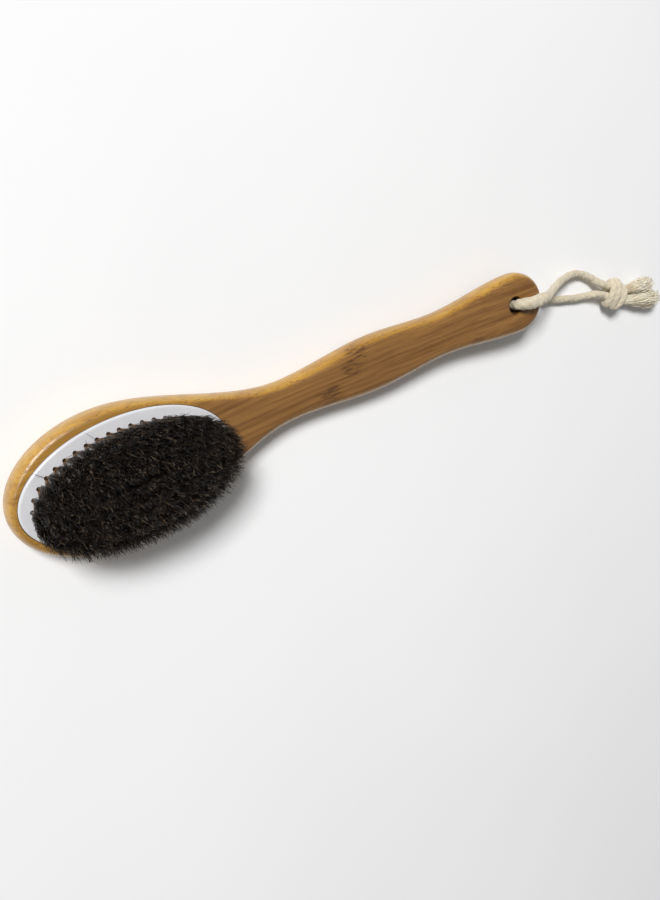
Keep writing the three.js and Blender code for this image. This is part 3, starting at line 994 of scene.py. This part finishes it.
def tuft_hairs(rng, foot, tips, count, strays):
    """Paths of the bristles of one tuft, folded in two over its anchor."""
    lean = tips - foot
    out = lean / np.linalg.norm(lean) if np.any(lean) else np.array((0.0, 1.0))
    tangent = np.array((-out[1], out[0]))
    rise = np.clip(HAIR_LEVELS / (BRISTLE_TOP - PLATE_TOP), 0, 1)[None, :, None]
    root = disc_points(rng, count, ROOT_RADIUS)
    half = rng.choice((-1.0, 1.0), (count, 1))
    root += LEG_START * half * tangent
    leg = half * tangent * rng.normal(LEG_REACH, 0.6, (count, 1))
    spread = disc_points(rng, count, TIP_REACH)
    spread -= 0.6 * np.maximum(0, spread @ out)[:, None] * out
    flat = (foot + root[:, None] + LEG_SHARE[None, :, None] * leg[:, None]
            + rise ** 1.9 * (spread - root)[:, None] + rise * (lean + COMBED))
    flat = flat + rng.normal(0, WANDER, flat.shape) * rise ** 0.8
    length = 1 + np.clip(rng.normal(0, 0.035, count), -0.12, 0.05)
    height = PLATE_TOP + HAIR_LEVELS[None] * np.where(HAIR_LEVELS > 5, length[:, None], 1)
    paths = np.concatenate([flat, height[..., None]], axis=2)
    for k in rng.choice(count, strays, replace=False):
        lay_out_stray(rng, paths[k], foot + root[k], out, tangent)
    paths[..., 0] += CENTRED
    return paths


def lay_out_stray(rng, path, start, out, tangent):
    """Bend one bristle's path down so that it lies out over the plate."""
    reach = rng.uniform(*STRAY_REACH)
    turn = rng.normal(0, 0.6)
    heading = math.cos(turn) * out + math.sin(turn) * tangent
    path[:, :2] = start + reach * STRAY_SHARE[:, None] * heading
    path[1:, 2] = PLATE_TOP + STRAY_RISE * rng.uniform(0.6, 1.4)


def hair_mesh(name, rng, paths):
    """Three-sided tapering bristles, with a tone for each and the height along it."""
    count, levels, _ = paths.shape
    tangents = np.gradient(paths, axis=1)
    tangents /= np.linalg.norm(tangents, axis=2)[..., None]
    spin = rng.uniform(0, TAU, count)
    reference = np.stack([np.cos(spin), np.sin(spin), np.zeros(count)], axis=1)[:, None]
    first = np.cross(tangents, np.broadcast_to(reference, tangents.shape))
    first /= np.linalg.norm(first, axis=2)[..., None]
    second = np.cross(tangents, first)
    radii = HAIR_RADII[None] * rng.uniform(0.8, 1.2, count)[:, None]
    corners = [
        paths + radii[..., None] * (math.cos(a) * first + math.sin(a) * second)
        for a in (0, TAU / 3, 2 * TAU / 3)
    ]
    points = np.stack(corners, axis=2)
    first_corner = 3 * levels * np.arange(count)
    faces = []
    for k in range(levels - 1):
        for i in range(3):
            a = first_corner + 3 * k + i
            b = first_corner + 3 * k + (i + 1) % 3
            faces.extend(np.stack([a, b, b + 3, a + 3], axis=1).tolist())
    faces.extend(np.stack([first_corner + 2, first_corner + 1, first_corner], axis=1).tolist())
    tip = first_corner + 3 * (levels - 1)
    faces.extend(np.stack([tip, tip + 1, tip + 2], axis=1).tolist())
    mesh = make_mesh(name, points.reshape(-1, 3), faces)
    tones = rng.uniform(0, 1, count)
    add_values(mesh, "tone", np.repeat(tones, 3 * levels))
    add_values(mesh, "along", np.tile(np.repeat(np.linspace(0, 1, levels), 3), count))
    return mesh


def bristle_material():
    """Dark natural bristle: mostly near black, some brown, with paler split tips."""
    g = Graph("natural_bristle")
    tone = g.attribute("tone")
    along = g.attribute("along")
    mottle = g.noise(g.stretched((0.8, 0.8, 0.8)), detail=2)
    dark = g.mix(g.span(mottle, 0.3, 0.7), rgb(0.0012, 0.001, 0.001), rgb(0.0034, 0.0025, 0.0021))
    colour = g.mix(g.span(tone, 0.84, 0.98), dark, rgb(0.045, 0.025, 0.014))
    colour = g.mix(g.span(tone, 0.955, 0.985), colour, rgb(0.34, 0.25, 0.17))
    paleness = g.math("MULTIPLY", g.span(along, 0.80, 1.0), g.span(tone, 0.45, 1.0))
    colour = g.mix(g.math("MULTIPLY", paleness, 0.3), colour, rgb(0.12, 0.08, 0.05))
    colour = g.mix(g.span(along, 0.55, 0.15, 0.0, 0.8), colour, rgb(0.30, 0.175, 0.095))
    g.set(
        Base_Color=colour,
        Roughness=g.span(mottle, 0.3, 0.7, 0.18, 0.30),
        Normal=g.bump(g.noise(g.stretched((3.0, 3.0, 3.0)), detail=1), 0.05),
    )
    g.shader.inputs["Specular IOR Level"].default_value = 0.28
    return g.material


bristle = bristle_material()


def add_tufts(name, seed, places, count, nodes, stray_chance=0.0):
    rng = np.random.default_rng(seed)
    paths = []
    for foot, tips in places:
        strays = int(rng.uniform() < stray_chance)
        paths.append(tuft_hairs(rng, foot, tips, count, strays))
    mesh = hair_mesh(name, rng, np.concatenate(paths))
    return add_piece(name, mesh, "brush", bristle, nodes)


for k, tuft in enumerate(rings[0]):
    add_tufts(
        f"outer_bristles_{k + 1:02d}", 100 + k, [tuft], OUTER_HAIRS,
        [f"outer_tuft_{k + 1:02d}"], stray_chance=0.3)
for k, ring in enumerate(rings[1:]):
    add_tufts(
        f"inner_bristles_{k + 2}", 200 + k, ring, INNER_HAIRS, [f"inner_tufts_ring_{k + 2}"])
add_tufts("core_bristles", 300, core_row, INNER_HAIRS, ["inner_tufts_core"])

# ------------------------------------------------------------------ hidden pieces


def anchor_material():
    """Zinc-coated wire with faint crystals."""
    g = Graph("galvanised_wire")
    crystals = g.noise(g.stretched((2.2, 2.2, 2.2)), detail=3)
    colour = g.mix(g.span(crystals, 0.3, 0.7), rgb(0.42, 0.42, 0.43), rgb(0.62, 0.62, 0.61))
    g.set(
        Base_Color=colour,
        Roughness=g.span(crystals, 0.3, 0.7, 0.25, 0.45),
        Normal=g.bump(crystals, 0.03),
    )
    g.shader.inputs["Metallic"].default_value = 1.0
    return g.material


def adhesive_material():
    """Cloudy amber adhesive, cured to a satin film."""
    g = Graph("cured_adhesive")
    cloud = g.noise(g.stretched((0.2, 0.2, 0.2)), detail=3)
    colour = g.mix(g.span(cloud, 0.3, 0.7), rgb(0.62, 0.54, 0.34), rgb(0.76, 0.70, 0.52))
    g.set(
        Base_Color=colour,
        Roughness=g.span(cloud, 0.3, 0.7, 0.45, 0.7),
        Normal=g.bump(cloud, 0.1),
    )
    return g.material


# The arch of an anchor's wire: along it, and above the bottom of its hole.
ANCHOR_ARCH = [(-1.25, 0.25), (-0.9, 0.75), (0.0, 0.95), (0.9, 0.75), (1.25, 0.25)]
ANCHOR_HALF_WIDTH = 0.5
ANCHOR_THICK = 0.35


def anchors_mesh():
    """A flat wire bent over the fold of each tuft, at the bottom of its hole."""
    points = []
    faces = []
    for foot, _ in all_places:
        loops = []
        for across, rise in ANCHOR_ARCH:
            x = foot[0] + across
            low_y, high_y = foot[1] - ANCHOR_HALF_WIDTH, foot[1] + ANCHOR_HALF_WIDTH
            low_z = TUFT_HOLE_BOTTOM + rise
            high_z = low_z + ANCHOR_THICK
            corners = ((low_y, low_z), (high_y, low_z), (high_y, high_z), (low_y, high_z))
            loops.append([(x, y, z) for y, z in corners])
        append_skin(points, faces, *stacked_loops(loops, round_cap))
    return make_mesh("tuft_anchors", points, faces, CENTRED)


add_piece("tuft_anchors", anchors_mesh(), "brush", anchor_material(), sharp=40)

glue_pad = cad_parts["plate_glue"]
glue_pad.data.materials.clear()
glue_pad.data.materials.append(adhesive_material())

# ------------------------------------------------------------------ floor and light

FLOOR_REACH = 4000
FLOOR_HEIGHT = -0.05  # just under the brush's back, so that the two faces don't meet
WORLD_STRENGTH = 0.20
KEY_PLACE = (-1.30, 2.30, 2.80)
KEY_AIM = (0.12, -0.22, 0.0)
KEY_SIZE = (1.05, 1.05)
KEY_POWER = 68.0
KEY_SPREAD = 120


def floor_material():
    """Matt near-white paper with a faint tooth."""
    g = Graph("pale_paper")
    cloud = g.noise(g.stretched((0.004, 0.004, 0.004)), detail=2)
    tooth = g.noise(g.stretched((1.2, 1.2, 1.2)), detail=2)
    colour = g.mix(g.span(cloud, 0.3, 0.7), rgb(0.92, 0.92, 0.92), rgb(0.94, 0.94, 0.94))
    g.set(
        Base_Color=colour,
        Roughness=g.span(tooth, 0.3, 0.7, 0.6, 0.75),
        Normal=g.bump(tooth, 0.01),
    )
    g.shader.inputs["Specular IOR Level"].default_value = 0.2
    return g.material


def add_floor():
    signs = ((-1, -1), (1, -1), (1, 1), (-1, 1))
    corners = [(FLOOR_REACH * x, FLOOR_REACH * y, FLOOR_HEIGHT) for x, y in signs]
    mesh = make_mesh("floor", corners, [(0, 1, 2, 3)])
    mesh.materials.append(floor_material())
    floor = bpy.data.objects.new("floor", mesh)
    bpy.context.scene.collection.objects.link(floor)


def add_area(name, place, aim, size, power, spread):
    data = bpy.data.lights.new(name, "AREA")
    data.shape = "RECTANGLE"
    data.size, data.size_y = size
    data.energy = power
    data.spread = math.radians(spread)
    light = bpy.data.objects.new(name, data)
    direction = Vector(aim) - Vector(place)
    turn = direction.to_track_quat("-Z", "Y").to_matrix().to_4x4()
    light.matrix_world = Matrix.Translation(place) @ turn
    bpy.context.scene.collection.objects.link(light)


def add_world():
    world = bpy.data.worlds.new("studio")
    world.use_nodes = True
    background = world.node_tree.nodes["Background"]
    background.inputs["Color"].default_value = rgb(1.0, 1.0, 1.0)
    background.inputs["Strength"].default_value = WORLD_STRENGTH
    bpy.context.scene.world = world


add_floor()
add_world()
add_area("key", KEY_PLACE, KEY_AIM, KEY_SIZE, KEY_POWER, KEY_SPREAD)
bpy.context.scene.view_settings.view_transform = "Standard"
